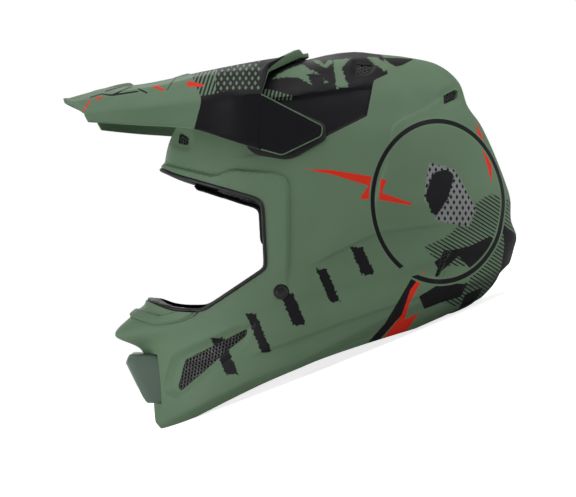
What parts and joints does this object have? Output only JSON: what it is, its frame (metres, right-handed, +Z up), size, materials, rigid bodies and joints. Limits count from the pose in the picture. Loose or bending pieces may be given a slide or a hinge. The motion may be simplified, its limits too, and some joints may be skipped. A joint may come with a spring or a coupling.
{
  "type": "motocross helmet",
  "caption": "Off-road motorcycle helmet with a long tilting peak, open eyeport, protruding chin bar, foam liners, pads and a D-ring chin strap, standing on its rim.",
  "frame": {"origin": "on the ground, under the middle of the length and breadth of the helmet standing on its rim", "axes": "-Y the way the wearer faces, +X the wearer's left, +Z up from the ground the rim stands on"},
  "size_m": [0.2436, 0.3554, 0.2862],
  "materials": {
    "shell_paint": "satin painted and clear-coated polycarbonate/ABS moulding with colour graphics",
    "peak_plastic": "satin injection-moulded nylon peak",
    "black_plastic": "black moulded nylon",
    "trim_rubber": "matt black extruded rubber",
    "vent_mesh": "black moulded mesh",
    "foam": "dark bead foam",
    "pad_fabric": "black brushed polyester knit over foam",
    "webbing": "black woven nylon webbing",
    "steel": "zinc-plated steel wire"
  },
  "bodies": {
    "helmet": {"outer_shell": "shell_paint", "visor_gasket_left": "trim_rubber", "visor_gasket_right": "trim_rubber", "eyeport_trim": "trim_rubber", "nose_guard": "shell_paint", "nose_guard_rubber": "trim_rubber", "mouth_vent_hood": "shell_paint", "mouth_vent_mesh": "vent_mesh", "chin_vent_grille_left": "vent_mesh", "chin_vent_grille_right": "vent_mesh", "brow_vent_grille_left": "vent_mesh", "brow_vent_grille_right": "vent_mesh", "crown_vent_grille_left": "vent_mesh", "crown_vent_grille_right": "vent_mesh", "rear_vent_grille_left": "vent_mesh", "rear_vent_grille_right": "vent_mesh", "neck_vent_grille_left": "vent_mesh", "neck_vent_grille_right": "vent_mesh", "impact_liner": "foam", "comfort_liner": "pad_fabric", "eyeport_pad": "pad_fabric", "chin_foam": "foam", "neck_roll": "pad_fabric", "cheek_pad_left": "pad_fabric", "cheek_pad_right": "pad_fabric", "strap_rivet_left": "black_plastic", "strap_rivet_right": "black_plastic", "ring_strap": "webbing", "folded_strap": "webbing", "snap_button": "black_plastic"},
    "peak": {"visor_peak": "peak_plastic", "visor_top_screw": "black_plastic", "visor_pivot_pin_left": "black_plastic", "visor_pivot_pin_right": "black_plastic"},
    "lower_ring": {"lower_d_ring": "steel"},
    "upper_ring": {"upper_d_ring": "steel"}
  },
  "joints": [
    {"name": "peak_tilt", "type": "hinge", "parent": "helmet", "child": "peak", "pos_m": [0, 0.02375, 0.18585], "axis": [1, 0, 0], "range_deg": [0, 8]},
    {"name": "lower_ring_swing", "type": "hinge", "parent": "helmet", "child": "lower_ring", "pos_m": [0.046, -0.03204, 0.0098], "axis": [0, 1, 0], "range_deg": [-25, 0]},
    {"name": "upper_ring_swing", "type": "hinge", "parent": "helmet", "child": "upper_ring", "pos_m": [0.046, -0.03204, 0.0142], "axis": [0, 1, 0], "range_deg": [0, 70]}
  ]
}
